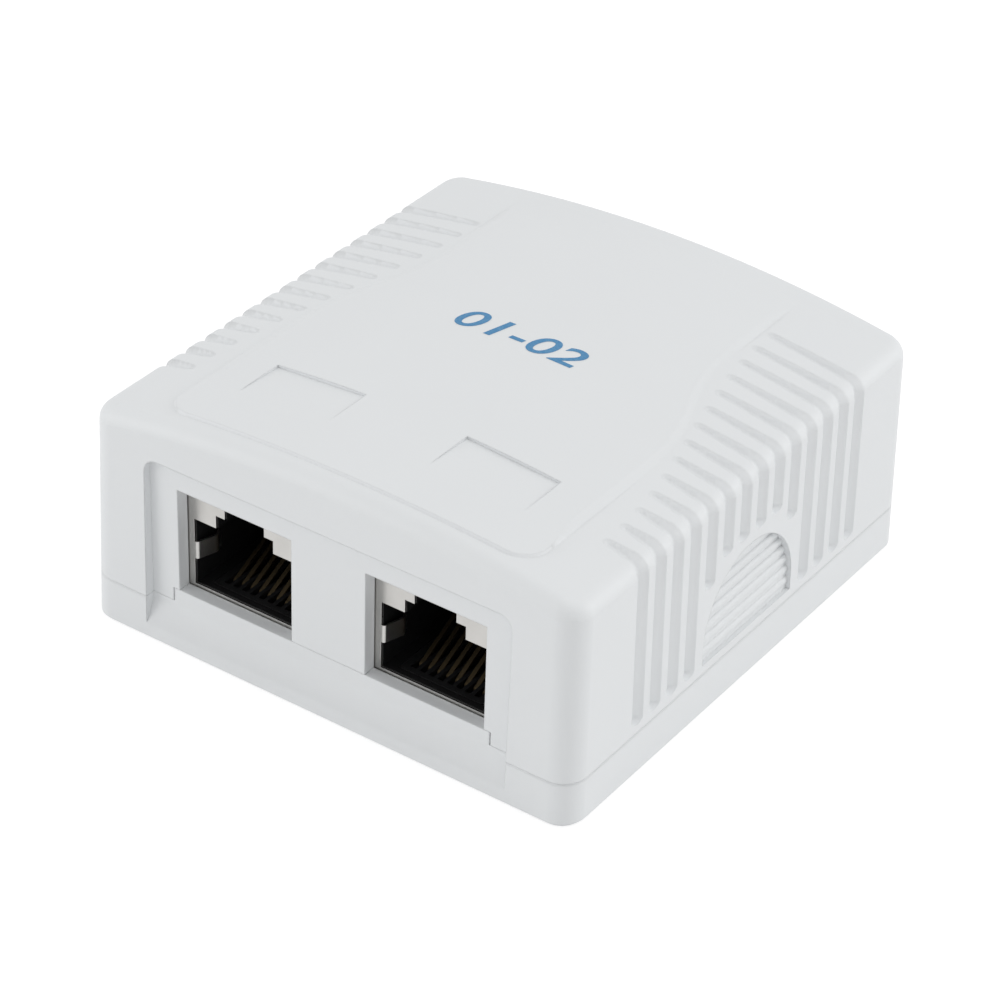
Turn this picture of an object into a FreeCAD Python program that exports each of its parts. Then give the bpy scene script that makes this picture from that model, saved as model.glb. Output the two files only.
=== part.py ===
import FreeCAD, Part
import math
import os
from FreeCAD import Vector

# Surface mount jack box: two shielded modular jacks and their terminal blocks on one board,
# in a base tray under a clip-on cover. Millimetres, +Z up, the jack side towards -Y, origin
# at the middle of the underside. A depth is counted back from the front of the base.

# Case
case_width = 55.5
case_depth = 58.5
case_height = 26.2
plinth_height = 4.9         # the joint between base and cover
draft = math.tan(math.radians(1.0))
corner_radius = 2.6
top_round = 1.9
bottom_chamfer = 0.4
side_wall = 2.2
front_wall = 2.6
roof_thickness = 2.0
floor_thickness = 1.6
case_fit = 0.12             # running gap between base and cover
joint_chamfer = 0.25
over = 1.0                  # cutting shapes run this far past the face they open

# Board: it fills the tray up to the room for the incoming cables
cable_bay = 9.8
rim_height = 1.4
rim_thickness = 1.1
board_gap = 0.7             # to the front wall
board_side_gap = 0.95       # to the rims at its sides
board_half = case_width / 2 - side_wall - rim_thickness - board_side_gap
board_front = front_wall + board_gap
board_rear = case_depth - side_wall - cable_bay
board_corner = 1.5
board_seat = 3.2
board_thickness = 1.6
board_top = board_seat + board_thickness
pin_reach = 0.8
pin_end = board_seat - pin_reach

# Screws and the posts they stand in
post_radius = 2.4
screw_edge = 2.1            # from the board's side edge
screw_x = board_half - screw_edge
screw_front = 3.3           # behind the board's front edge
screw_rear = 4.5            # before its rear edge
screw_depths = (board_front + screw_front, board_rear - screw_rear)
screw_radius = 1.1
screw_length = 4.2
screw_head_radius = 1.95
screw_head_height = 1.4
screw_root = 0.5            # of the shank inside the head
cross_reach = 1.17
cross_half = 0.2
cross_depth = 0.8
pilot_room = 0.4
thread_fit = 0.02
hole_fit = 0.1
pin_hole_fit = 0.2

# Modular jacks: heights above the board, depths behind the jack's face
jack_gap = 0.1              # between the front wall and the jacks' faces
jack_screw_gap = 0.55       # beside the board's screw heads
jack_face = front_wall + jack_gap
jack_depth = 18.3
jack_width = 16.1
jack_height = 13.0
jack_top = board_top + jack_height
jack_x = screw_x - screw_head_radius - jack_screw_gap - jack_width / 2
shield_sheet = 0.25
shield_corner = 0.5
shield_reveal = 0.05        # the shield's opening stands off the moulded port by this
port_width = 11.8
port_rise = 1.9
port_height = 7.2
port_bottom = board_top + port_rise
key_width = 6.6
key_height = 1.4
latch_width = 4.5
latch_height = 1.0
latch_top = port_bottom + port_height + key_height + latch_height
port_depth = 13.6
leg_width = 1.5
leg_depth = 8.0
leg_fit = 0.175
foot_margin = 1.0           # of the notch at the shield's rear foot
foot_height = 1.1
peg_radius = 1.4
peg_x = 6.2
peg_depth = 6.3
peg_reach = 0.3
peg_end = board_seat - peg_reach
peg_root = 0.2
finger_length = 3.1
finger_height = 1.9
finger_rise = 3.75          # middle of the finger above the port's floor
finger_z = port_bottom + finger_rise
finger_bow = 0.85           # how far its crest stands into the port
finger_crest = 2.2          # depth of the crest
finger_curl = 0.45
finger_bends = (0.2, 0.5)
finger_lip = 0.2            # where the finger turns in, inside the port's side
finger_root = 0.55          # where it is still part of the shield's face

# Jack contacts and their carrier
contact_count = 8
contact_pitch = 1.02
contact_width = 0.42
contact_sheet = 0.3
contact_rise = 0.95
contact_z = board_top + contact_rise
contact_turn = 2.05         # depth at which a contact turns back up into the port
contact_bends = (0.45, 0.3)
contact_tip_depth = 9.9
contact_tip_rise = 3.0
contact_tip_z = port_bottom + contact_tip_rise
pin_row_depths = (16.6, 14.1)
slot_width = 0.6
slot_start = 1.7
channel_start = 1.0
tongue_half = 4.7
tongue_rise = 0.4
tongue_bottom = board_top + tongue_rise
carrier_wall = 1.8
carrier_half = 6.4
carrier_height = 10.8
carrier_top = board_top + carrier_height
carrier_fit = 0.05

# Ground strip and cable clamp
strip_sheet = 0.5
strip_half = 2.0
strip_upright = 5.0
strip_bar_half = 14.5
saddle_gap = 2.1            # behind the board
saddle_length = 5.8
saddle_front = board_rear + saddle_gap
saddle_rear = saddle_front + saddle_length
clamp_sheet = 0.8
clamp_margin = 0.3
clamp_bow_half = 6.9
clamp_bow_height = 6.2
clamp_bow_round = 2.0
clamp_foot_round = 0.7
clamp_boss_radius = 2.9
clamp_hole_fit = 0.15
clamp_screw_offset = 2.7    # beside the bow
clamp_screw_x = clamp_bow_half + clamp_screw_offset
saddle_half = clamp_screw_x - clamp_boss_radius - clamp_margin

# Terminal blocks: two rows of towers on each, heights above the board
block_screw_gap = 0.45      # beside the board's screw heads
block_front_gap = 3.2       # behind the ground strip
block_rear_gap = 2.2        # before the board's rear edge
block_end = 0.6
row_offset = 4.7
row_half = 2.3
block_x = screw_x - screw_head_radius - block_screw_gap - row_offset - row_half
block_front = jack_face + jack_depth + strip_sheet + block_front_gap
block_rear = board_rear - block_rear_gap
block_depth = (block_front + block_rear) / 2
block_pitch = (block_rear - block_front - 2 * block_end) / (contact_count / 2)
block_height = 11.0
block_top = board_top + block_height
web_height = 4.2
web_top = board_top + web_height
wire_slot = 1.1
wire_slot_rise = 4.8
wire_slot_bottom = board_top + wire_slot_rise
lead_in = 2.4
blade_width = 2.6
blade_sheet = 0.4
blade_rise = 0.6
blade_bottom = board_top + blade_rise
blade_cover = 1.8           # of the tower above the blade
blade_top = block_top - blade_cover
blade_slit = 0.4
blade_slit_depth = 4.2
blade_mouth = 1.3
blade_pin = 0.8
blade_fit = 0.08

# Front recess and windows: they line up with the ports
window_margin = 0.75        # beside the port
window_drop = 0.35          # sill below the port's floor
window_head = 1.35          # above the latch slot
window_width = port_width + 2 * window_margin
window_bottom = port_bottom - window_drop
window_top = latch_top + window_head
upstand_margin = 0.75       # of the base's upstand beside the windows
upstand_half = jack_x + window_width / 2 + upstand_margin
bay_margin = 0.4            # round the jacks, inside the front wall
recess_margin = 3.2         # beside the windows
recess_head = 2.75          # above them
recess_half = jack_x + window_width / 2 + recess_margin
recess_depth = 1.2
recess_top = window_top + recess_head
recess_corner = 1.5
recess_lip = 1.8            # where the recess runs out on the base
recess_lip_top = 4.2

# Label recesses behind the front edge, one over each jack
label_width = 10.3
label_rear = 14.3
label_front = 6.6
label_drop = 0.35

# Top: a crowned roof with a raised, waisted panel that runs out over its rear edge
crown_radius = 141.0
panel_radius = 150.0
panel_step = 0.2            # panel above the roof, at the middle
panel_margin = 2.2          # behind the front, at the middle
panel_bow = 1.2             # how much further back the ends of its front edge lie
panel_side = 3.7            # beside the label recesses
panel_waist = 3.7           # how much narrower each half is at the rear
panel_front_half = jack_x + label_width / 2 + panel_side
panel_rear_half = panel_front_half - panel_waist
panel_corner = 2.4
panel_slope = 0.8           # sideways run of the panel's edge for each millimetre of height
panel_root = 2.2            # how far its sides run down into the roof
panel_gauge = 0.3           # its outline is measured this far below the crown
waist_start = 22.5          # depth at which the waist begins
waist_end = 42.5

# Grip grooves over the top edges and down both sides
groove_count = 14
groove_pitch = 2.86
groove_width = 1.15
groove_depth = 0.5
groove_bottom = 5.8
groove_ends = (14.3, 16.4, 16.4)   # the grooves that stop over the finger grip, outermost first
groove_front_gap = 3.3      # beside the panel
groove_rear_gap = 0.9
groove_front_half = panel_front_half + groove_front_gap
groove_rear_half = panel_rear_half + groove_rear_gap

# Finger grip in each side
grip_radius = 7.7
grip_bottom = 5.9
grip_spring = 7.7           # height at which the arch starts to turn
grip_depth = 1.2
grip_rib_pitch = 1.25
grip_rib_radius = 0.42
grip_rib_start = 0.95       # first rib above the grip's bottom

# Wall fixing and cable entry
wall_slot_edge = 9.75       # from the side of the case
wall_slot_rear = 7.2        # from its rear
wall_slot_x = case_width / 2 - wall_slot_edge
wall_slot_depth = case_depth - wall_slot_rear
wall_slot_radius = 2.1
wall_slot_length = 7.0
wall_slot_rim = 1.2
wall_slot_rim_height = 0.8
entry_half = 6.5
entry_height = 8.0

# Guides that hold the cover on the base
rim_margin = 8.5
rear_rim_margin = 4.25
rear_rim_gap = 2.0          # beside the cable entry
snap_y = 14.3
snap_half = 3.0
snap_top = 12.0
snap_bead = 0.4
snap_catch = 0.8            # height of the bead's lower flank
snap_lead = 1.6             # height of its upper flank
snap_tip = 0.5
snap_tip_drop = 1.2
stop_rib = 1.2
stop_rib_half = 5.0
stop_rib_gap = 0.3

front = -case_depth / 2
rear = case_depth / 2
roof_crown = case_height - panel_step


def box(x0, x1, y0, y1, z0, z1):
    return Part.makeBox(x1 - x0, y1 - y0, z1 - z0, Vector(x0, y0, z0))


def rod(radius, x, y, z, length, axis=Vector(0, 0, 1)):
    return Part.makeCylinder(radius, length, Vector(x, y, z), axis)


def moved(shape, x=0, y=0, z=0):
    placed = shape.copy()
    placed.translate(Vector(x, y, z))
    return placed


def mirrored(shape):
    return shape.mirror(Vector(0, 0, 0), Vector(1, 0, 0))


def both_sides(shapes):
    return shapes + [mirrored(shape) for shape in shapes]


def polygon(points):
    return Part.Face(Part.makePolygon(points + points[:1]))


def depth_profile(points, x0, x1):
    """A prism along X whose outline is given as (depth, height) points."""
    face = polygon([Vector(x0, front + d, z) for d, z in points])
    return face.extrude(Vector(x1 - x0, 0, 0))


def inset_at(z):
    """How far the drafted outer wall leans in at height z."""
    return z * draft


def rounded_outline(half_x, y0, y1, radius, z):
    """Closed wire of a rectangle with round corners, counter-clockwise."""
    k = radius * (1 - math.sqrt(0.5))
    edges = []
    corners = ((half_x, y0, -1), (half_x, y1, 1), (-half_x, y1, 1), (-half_x, y0, -1))
    starts, ends = [], []
    for x, y, up in corners:
        sx = math.copysign(1, x)
        on_y = Vector(x - sx * radius, y, z)
        on_x = Vector(x, y - up * radius, z)
        middle = Vector(x - sx * k, y - up * k, z)
        first, last = (on_y, on_x) if sx * up < 0 else (on_x, on_y)
        edges.append(Part.Arc(first, middle, last).toShape())
        starts.append(first)
        ends.append(last)
    lines = [Part.makeLine(ends[i], starts[(i + 1) % 4]) for i in range(4)]
    ordered = [edge for pair in zip(edges, lines) for edge in pair]
    return Part.Wire(ordered)


def drafted_block(side, front_inset, rear_inset, radius, z0, z1):
    """The case's drafted outline, set in by the given walls, between two heights."""
    rings = []
    for z in (z0, z1):
        x = case_width / 2 - side - inset_at(z)
        y0, y1 = front + front_inset + inset_at(z), rear - rear_inset - inset_at(z)
        rings.append([Vector(-x, y0, z), Vector(x, y0, z), Vector(x, y1, z), Vector(-x, y1, z)])
    low, high = rings
    faces = [polygon(low[::-1]), polygon(high)]
    faces += [polygon([low[i - 1], low[i], high[i], high[i - 1]]) for i in range(4)]
    block = Part.makeSolid(Part.makeShell(faces))
    uprights = [edge for edge in block.Edges if edge.BoundBox.ZLength > (z1 - z0) / 2]
    return block.makeFillet(radius, uprights)


def arc_drop(radius, x):
    """How far an arch of this radius has dropped at a distance from its crown."""
    return radius - math.sqrt(radius ** 2 - x ** 2)


def under_arc(radius, top):
    """Everything below a roof that curves sideways."""
    half = case_width / 2 + over
    drop = arc_drop(radius, half)
    y = front - over
    arc = Part.Arc(Vector(-half, y, top - drop), Vector(0, y, top), Vector(half, y, top - drop))
    legs = Part.makePolygon([Vector(half, y, top - drop), Vector(half, y, -over), Vector(-half, y, -over),
                             Vector(-half, y, top - drop)])
    face = Part.Face(Part.Wire([arc.toShape()] + legs.Edges))
    return face.extrude(Vector(0, case_depth + 2 * over, 0))


def roofed_form(inset, radius, crown):
    """The cover's outer walls under one arched roof with rounded edges, set in all round."""
    block = drafted_block(inset, inset, inset, corner_radius - inset, plinth_height,
                          case_height + over)
    block = block.common(under_arc(radius - inset, crown - inset))
    top = max(block.Faces, key=lambda face: face.CenterOfMass.z)
    return block.makeFillet(top_round - inset, top.OuterWire.Edges)


def cover_form(inset):
    """The cover's outer form without its raised panel."""
    return roofed_form(inset, crown_radius, roof_crown)


def waist_edges(grow, z):
    """Right-hand side line of the raised panel, front to rear: straight, two arcs, straight."""
    x0, x1 = panel_front_half + grow, panel_rear_half + grow
    y0, y1 = front + waist_start, front + waist_end
    shift, run = x0 - x1, y1 - y0
    radius = (shift ** 2 + run ** 2) / (4 * shift)
    swing = math.asin(run / 2 / radius)
    middle = Vector((x0 + x1) / 2, (y0 + y1) / 2, z)
    bulge = radius * (1 - math.cos(swing / 2))
    quarter = radius * math.sin(swing / 2)
    first = Part.Arc(Vector(x0, y0, z), Vector(x0 - bulge, y0 + quarter, z), middle)
    second = Part.Arc(middle, Vector(x1 + bulge, y1 - quarter, z), Vector(x1, y1, z))
    return [first.toShape(), second.toShape()]


def panel_outline(grow, z):
    """Closed wire of the raised panel at one height; it grows towards its foot."""
    r = panel_corner + grow
    k = r * (1 - math.sqrt(0.5))
    nose = front + panel_margin - grow
    y0, y1 = nose + panel_bow, rear + panel_corner + over + grow
    x0, x1 = panel_front_half + grow, panel_rear_half + grow
    side = [Part.Arc(Vector(x0 - r, y0, z), Vector(x0 - k, y0 + k, z), Vector(x0, y0 + r, z)).toShape(),
            Part.makeLine(Vector(x0, y0 + r, z), Vector(x0, front + waist_start, z))]
    side += waist_edges(grow, z)
    side += [Part.makeLine(Vector(x1, front + waist_end, z), Vector(x1, y1 - r, z)),
             Part.Arc(Vector(x1, y1 - r, z), Vector(x1 - k, y1 - k, z), Vector(x1 - r, y1, z)).toShape()]
    bow = Part.Arc(Vector(-(x0 - r), y0, z), Vector(0, nose, z), Vector(x0 - r, y0, z))
    ends = [bow.toShape(), Part.makeLine(Vector(x1 - r, y1, z), Vector(-(x1 - r), y1, z))]
    return Part.Wire(Part.__sortEdges__(side + [mirrored(edge) for edge in side] + ends))


def raised_panel():
    """The waisted panel with sloping edges that stands on the roof."""
    heights = (roof_crown - panel_root, case_height + panel_gauge)
    wires = [panel_outline((roof_crown - panel_gauge - z) * panel_slope, z) for z in heights]
    return Part.makeLoft(wires, True, True).common(roofed_form(0, panel_radius, case_height))


def grooves():
    """Grooves with round ends that follow the roof and the sides at one depth."""
    skin = cover_form(0).cut(cover_form(groove_depth))
    r = groove_width / 2
    x1 = case_width / 2 + over
    side_x = case_width / 2 - inset_at(case_height) - top_round
    roof_z = case_height - 2 * top_round
    tools = []
    for i in range(groove_count):
        y = (i - (groove_count - 1) / 2) * groove_pitch
        from_end = min(i, groove_count - 1 - i)
        over_grip = from_end - (groove_count // 2 - len(groove_ends))
        low = groove_ends[over_grip] if over_grip >= 0 else groove_bottom
        share = i / (groove_count - 1)
        waist = share ** 2 * (3 - 2 * share)
        x0 = groove_front_half + (groove_rear_half - groove_front_half) * waist
        side = box(side_x, x1, y - r, y + r, low + r, case_height)
        side = side.fuse(rod(r, side_x, y, low + r, x1 - side_x, Vector(1, 0, 0)))
        across = box(x0 + r, x1, y - r, y + r, roof_z, case_height)
        across = across.fuse(rod(r, x0 + r, y, roof_z, case_height - roof_z))
        tools.append(side.fuse(across))
    return [skin.common(tool) for tool in both_sides(tools)]


def grip_arch():
    """Prism of the finger grip's arched outline through the right-hand side."""
    r = grip_radius
    x = case_width / 2 - side_wall
    arc = Part.Arc(Vector(x, r, grip_spring), Vector(x, 0, grip_spring + r), Vector(x, -r, grip_spring))
    legs = Part.makePolygon([Vector(x, -r, grip_spring), Vector(x, -r, grip_bottom),
                             Vector(x, r, grip_bottom), Vector(x, r, grip_spring)])
    face = Part.Face(Part.Wire([arc.toShape()] + legs.Edges))
    return face.extrude(Vector(2 * side_wall, 0, 0))


def grip_pocket():
    """The grip's hollow: its floor leans in with the wall."""
    x = case_width / 2 - grip_depth
    floor = polygon([Vector(0, front, 0), Vector(x, front, 0),
                     Vector(x - inset_at(case_height), front, case_height), Vector(0, front, case_height)])
    return grip_arch().cut(floor.extrude(Vector(0, case_depth, 0)))


def grip_ribs():
    """Fine level ribs across the floor of the grip."""
    arch = grip_arch()
    height = grip_spring + grip_radius - grip_bottom
    count = int((height - grip_rib_pitch / 2) // grip_rib_pitch)
    ribs = []
    for i in range(count):
        z = grip_bottom + grip_rib_start + i * grip_rib_pitch
        x = case_width / 2 - grip_depth - inset_at(z)
        ribs.append(rod(grip_rib_radius, x, -grip_radius, z, 2 * grip_radius, Vector(0, 1, 0)).common(arch))
    return ribs


def front_recess():
    """The shallow recess round the ports, down to where it runs out on the base."""
    r = recess_corner
    k = r * (1 - math.sqrt(0.5))
    y, top, low, half = front - over, recess_top, recess_lip_top, recess_half
    corner = Part.Arc(Vector(half, y, top - r), Vector(half - k, y, top - k), Vector(half - r, y, top))
    side = [Part.makeLine(Vector(half, y, low), Vector(half, y, top - r)), corner.toShape()]
    ends = [Part.makeLine(Vector(-half, y, low), Vector(half, y, low)),
            Part.makeLine(Vector(r - half, y, top), Vector(half - r, y, top))]
    wire = Part.Wire(Part.__sortEdges__(side + [mirrored(edge) for edge in side] + ends))
    upright = Part.Face(wire).extrude(Vector(0, over + recess_depth, 0))
    slope = depth_profile([(-over, recess_lip), (0, recess_lip), (recess_depth, recess_lip_top),
                           (-over, recess_lip_top)], -recess_half, recess_half)
    return upright.fuse(slope)


def label_recess():
    """A wedge that runs out towards the front, turned to follow the panel over one jack."""
    wedge = depth_profile([(label_front, case_height), (label_rear, case_height - label_drop),
                           (label_rear, case_height + over), (label_front, case_height + over)],
                          -label_width / 2, label_width / 2)
    lean = math.degrees(math.asin(jack_x / panel_radius))
    wedge.rotate(Vector(0, 0, case_height - panel_radius), Vector(0, 1, 0), lean)
    return wedge


def window():
    return box(jack_x - window_width / 2, jack_x + window_width / 2, front - over,
               front + front_wall + over, window_bottom - over, window_top)


def jack_bay():
    """The inside of the front wall stands upright where the jacks lie against it."""
    half = jack_x + jack_width / 2 + bay_margin
    return box(-half, half, front + front_wall, front + front_wall + over, plinth_height - over,
               jack_top + bay_margin)


def cable_entry():
    arch = entry_height - entry_half
    y = rear - side_wall - over
    arc = Part.Arc(Vector(entry_half, y, plinth_height + arch), Vector(0, y, plinth_height + entry_height),
                   Vector(-entry_half, y, plinth_height + arch))
    legs = Part.makePolygon([Vector(-entry_half, y, plinth_height + arch), Vector(-entry_half, y, 0),
                             Vector(entry_half, y, 0), Vector(entry_half, y, plinth_height + arch)])
    return Part.Face(Part.Wire([arc.toShape()] + legs.Edges)).extrude(Vector(0, side_wall + 2 * over, 0))


def snap_channels():
    """Upright channels inside the cover's side walls, in which the base's tongues stand."""
    inner = case_width / 2 - side_wall - inset_at(plinth_height)
    half = snap_half + case_fit
    return [box(inner - over, inner + snap_bead + case_fit, y - half, y + half, plinth_height - over,
                snap_top + case_fit) for y in (-snap_y, snap_y)]


def stop_ribs():
    """Ribs under the roof that stop just above the jacks and keep them down on the board."""
    y = front + jack_face + jack_depth / 2
    low = jack_top + stop_rib_gap
    high = roof_crown - roof_thickness / 2 - arc_drop(crown_radius, jack_x + stop_rib_half)
    return [box(jack_x - stop_rib_half, jack_x + stop_rib_half, y - stop_rib / 2, y + stop_rib / 2,
                low, high)]


def cover():
    shell = cover_form(0).fuse(raised_panel())
    cavity = drafted_block(side_wall, front_wall, side_wall, corner_radius - side_wall / 2,
                           plinth_height - over, case_height)
    cavity = cavity.common(under_arc(crown_radius - roof_thickness, roof_crown - roof_thickness))
    shell = shell.cut(cavity)
    tools = [front_recess(), jack_bay(), cable_entry()]
    tools.append(box(-upstand_half, upstand_half, front - over, front + front_wall + over,
                     plinth_height - over, window_bottom))
    tools += both_sides([window(), label_recess(), grip_pocket()] + snap_channels())
    tools += grooves()
    shell = shell.cut(tools)
    return shell.fuse(both_sides(grip_ribs() + stop_ribs())).removeSplitter()


def snap_tongues():
    """Springy tongues on the base, each with a bead near its tip."""
    x1 = case_width / 2 - side_wall - inset_at(plinth_height) - case_fit - rim_height * draft
    x1 -= inset_at(snap_top - plinth_height)
    bead_z = snap_top - snap_lead
    outline = [(x1, floor_thickness), (x1, bead_z - snap_catch), (x1 + snap_bead, bead_z),
               (x1, snap_top), (x1 - snap_tip, snap_top), (x1 - rim_thickness, snap_top - snap_tip_drop),
               (x1 - rim_thickness, floor_thickness)]
    tongues = []
    for y in (-snap_y, snap_y):
        face = polygon([Vector(x, y - snap_half, z) for x, z in outline])
        tongues.append(face.extrude(Vector(0, 2 * snap_half, 0)))
    return tongues


def rims():
    """Low rims that centre the cover: one along each side and two at the rear."""
    x1 = case_width / 2 - side_wall - inset_at(plinth_height + rim_height) - case_fit
    y1 = rear - side_wall - inset_at(plinth_height + rim_height) - case_fit
    top = plinth_height + rim_height
    side = box(x1 - rim_thickness, x1, front + rim_margin, rear - rim_margin, floor_thickness, top)
    back = box(entry_half + rear_rim_gap, x1 - rear_rim_margin, y1 - rim_thickness, y1,
               floor_thickness, top)
    return [side, back]


def wall_slot(radius, z0, z1):
    half = wall_slot_length / 2 - wall_slot_radius
    y = front + wall_slot_depth
    height = z1 - z0
    slot = box(wall_slot_x - half, wall_slot_x + half, y - radius, y + radius, z0, z1)
    ends = [rod(radius, wall_slot_x + side * half, y, z0, height) for side in (-1, 1)]
    return slot.fuse(ends)


def board_posts():
    return [rod(post_radius, screw_x, front + d, floor_thickness / 2, board_seat - floor_thickness / 2)
            for d in screw_depths]


def screw_bores(radius, z0, z1):
    return [rod(radius, screw_x, front + d, z0, z1 - z0) for d in screw_depths]


def base_plate():
    block = drafted_block(0, 0, 0, corner_radius, 0, plinth_height)
    sole = min(block.Faces, key=lambda face: face.CenterOfMass.z)
    block = block.makeChamfer(bottom_chamfer, sole.OuterWire.Edges)
    top = max(block.Faces, key=lambda face: face.CenterOfMass.z)
    front_edges = [edge for edge in top.OuterWire.Edges if edge.CenterOfMass.y < front + corner_radius]
    block = block.makeChamfer(joint_chamfer, front_edges)
    well = drafted_block(side_wall, front_wall, side_wall, corner_radius - side_wall / 2,
                         floor_thickness, plinth_height + over)
    block = block.cut(well)
    upstand_side = upstand_half - case_fit
    boss_y = front + (saddle_front + saddle_rear) / 2
    solids = [box(-upstand_side, upstand_side, front + recess_depth, front + front_wall,
                  floor_thickness, window_bottom),
              box(-saddle_half, saddle_half, front + saddle_front, front + saddle_rear,
                  floor_thickness / 2, board_top)]
    boss = rod(clamp_boss_radius, clamp_screw_x, boss_y, floor_thickness / 2,
               board_top - floor_thickness / 2)
    pads = [wall_slot(wall_slot_radius + wall_slot_rim, floor_thickness / 2,
                      floor_thickness + wall_slot_rim_height)]
    solids += both_sides(snap_tongues() + rims() + board_posts() + [boss] + pads)
    block = block.fuse(solids)
    bore = screw_radius + thread_fit
    pilots = screw_bores(bore, board_top - screw_length - pilot_room, board_seat + over)
    clamp_seat = board_top + clamp_sheet
    pilots.append(rod(bore, clamp_screw_x, boss_y, clamp_seat - screw_length - pilot_room, screw_length))
    tools = both_sides(pilots + [wall_slot(wall_slot_radius, -over, board_seat)])
    return block.cut(tools + [front_recess()]).removeSplitter()


def contact_x(index):
    return jack_x + (index - (contact_count - 1) / 2) * contact_pitch


def pin_depth(index):
    return jack_face + pin_row_depths[index % 2]


def blade_places():
    """Middle of each blade on the right-hand terminal block: two rows, front to rear."""
    places = []
    for side in (-1, 1):
        for i in range(contact_count // 2):
            y = front + block_depth + (i - (contact_count // 2 - 1) / 2) * block_pitch
            places.append((block_x + side * row_offset, y))
    return places


def circuit_board():
    wire = rounded_outline(board_half, front + board_front, front + board_rear, board_corner, board_seat)
    board = Part.Face(wire).extrude(Vector(0, 0, board_thickness))
    z0, z1 = board_seat - over, board_top + over
    length = z1 - z0
    holes = screw_bores(screw_radius + hole_fit, z0, z1)
    pin_hole = contact_width / 2 + pin_hole_fit
    holes += [rod(pin_hole, contact_x(i), front + pin_depth(i), z0, length) for i in range(contact_count)]
    blade_hole = blade_pin / 2 + hole_fit
    holes += [rod(blade_hole, x, y, z0, length) for x, y in blade_places()]
    peg_y = front + jack_face + peg_depth
    holes += [rod(peg_radius + hole_fit, jack_x + side * peg_x, peg_y, z0, length) for side in (-1, 1)]
    leg_x = jack_width / 2 - shield_sheet / 2
    y = front + jack_face + leg_depth
    across, half = shield_sheet / 2 + leg_fit, leg_width / 2 + leg_fit
    for side in (-1, 1):
        x = jack_x + side * leg_x
        holes.append(box(x - across, x + across, y - half, y + half, z0, z1))
    return board.cut(both_sides(holes))


def screw(x, y, seat):
    """Pan-head screw with a cross recess, its thread left plain."""
    head = rod(screw_head_radius, x, y, seat, screw_head_height)
    rim = max(head.Edges, key=lambda edge: edge.CenterOfMass.z)
    head = head.makeFillet(screw_head_height / 2, [rim])
    tip = Part.makeCone(screw_radius / 3, screw_radius, screw_radius, Vector(x, y, seat - screw_length))
    shank = rod(screw_radius, x, y, seat - screw_length + screw_radius,
                screw_length - screw_radius + screw_root)
    top = seat + screw_head_height
    low = top - cross_depth
    high = top + over
    cross = [box(x - cross_reach, x + cross_reach, y - cross_half, y + cross_half, low, high),
             box(x - cross_half, x + cross_half, y - cross_reach, y + cross_reach, low, high)]
    return head.fuse([tip, shank]).cut(cross).removeSplitter()


def board_screws():
    screws = [screw(side * screw_x, front + d, board_top) for side in (-1, 1) for d in screw_depths]
    return Part.makeCompound(screws)


def port_profile(grow, z_grow, depth0, depth1):
    """The stepped port outline of the right-hand jack, key slot up."""
    z0 = port_bottom - z_grow
    z1 = port_bottom + port_height + grow
    z2 = z1 + key_height
    z3 = z2 + latch_height
    a, b, c = port_width / 2 + grow, key_width / 2 + grow, latch_width / 2 + grow
    half = [(a, z0), (a, z1), (b, z1), (b, z2), (c, z2), (c, z3)]
    outline = half + [(-x, z) for x, z in reversed(half)]
    face = polygon([Vector(jack_x + x, front + depth0, z) for x, z in outline])
    return face.extrude(Vector(0, depth1 - depth0, 0))


def jack_housing():
    s = shield_sheet
    half = jack_width / 2 - s
    body = box(jack_x - half, jack_x + half, front + jack_face + s, front + jack_face + jack_depth - s,
               board_top, jack_top - s)
    port = port_profile(0, 0, jack_face - over, jack_face + port_depth)
    face_y = front + jack_face
    rear_y = face_y + jack_depth
    channel = box(jack_x - tongue_half, jack_x + tongue_half, face_y + channel_start, rear_y,
                  board_top - over, port_bottom + over)
    rear_well = box(jack_x - carrier_half, jack_x + carrier_half, rear_y - s - carrier_wall, rear_y,
                    board_top - over, carrier_top)
    pin_well = box(jack_x - tongue_half, jack_x + tongue_half, face_y + port_depth, rear_y,
                   board_top - over, port_bottom + port_height)
    body = body.cut([port, channel, rear_well, pin_well])
    pegs = [rod(peg_radius, jack_x + side * peg_x, face_y + peg_depth, peg_end,
                board_top + peg_root - peg_end) for side in (-1, 1)]
    return body.fuse(pegs).removeSplitter()


def spring_finger():
    """A bowed strip that turns in from the shield's face along the port's right-hand side."""
    side = jack_x + port_width / 2
    face_y = front + jack_face
    y0 = face_y + shield_sheet / 2
    points = [Vector(side + finger_root, y0, finger_z), Vector(side - finger_lip, y0, finger_z),
              Vector(side - finger_bow, face_y + finger_crest, finger_z),
              Vector(side - finger_bow + finger_curl, face_y + finger_length, finger_z)]
    return swept_strip(points, finger_bends, shield_sheet, finger_height, Vector(0, 0, 1))


def swept_strip(points, radii, sheet, width, across):
    """A sheet-metal strip along straight runs that are joined by tangent arcs."""
    edges = []
    start = points[0]
    for i, radius in enumerate(radii):
        corner = points[i + 1]
        back = (points[i] - corner).normalize()
        ahead = (points[i + 2] - corner).normalize()
        half_turn = (math.pi - back.getAngle(ahead)) / 2
        reach = radius * math.tan(half_turn)
        enter, leave = corner + back * reach, corner + ahead * reach
        bisector = (back + ahead).normalize()
        middle = corner + bisector * (radius / math.cos(half_turn) - radius)
        edges.append(Part.makeLine(start, enter))
        edges.append(Part.Arc(enter, middle, leave).toShape())
        start = leave
    edges.append(Part.makeLine(start, points[-1]))
    along = (points[1] - points[0]).normalize()
    side = along.cross(across).normalize() * (sheet / 2)
    lift = across * (width / 2)
    corners = [points[0] + side + lift, points[0] - side + lift, points[0] - side - lift,
               points[0] + side - lift]
    profile = Part.makePolygon(corners + corners[:1])
    return Part.Wire(edges).makePipeShell([profile], True, False)


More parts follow.
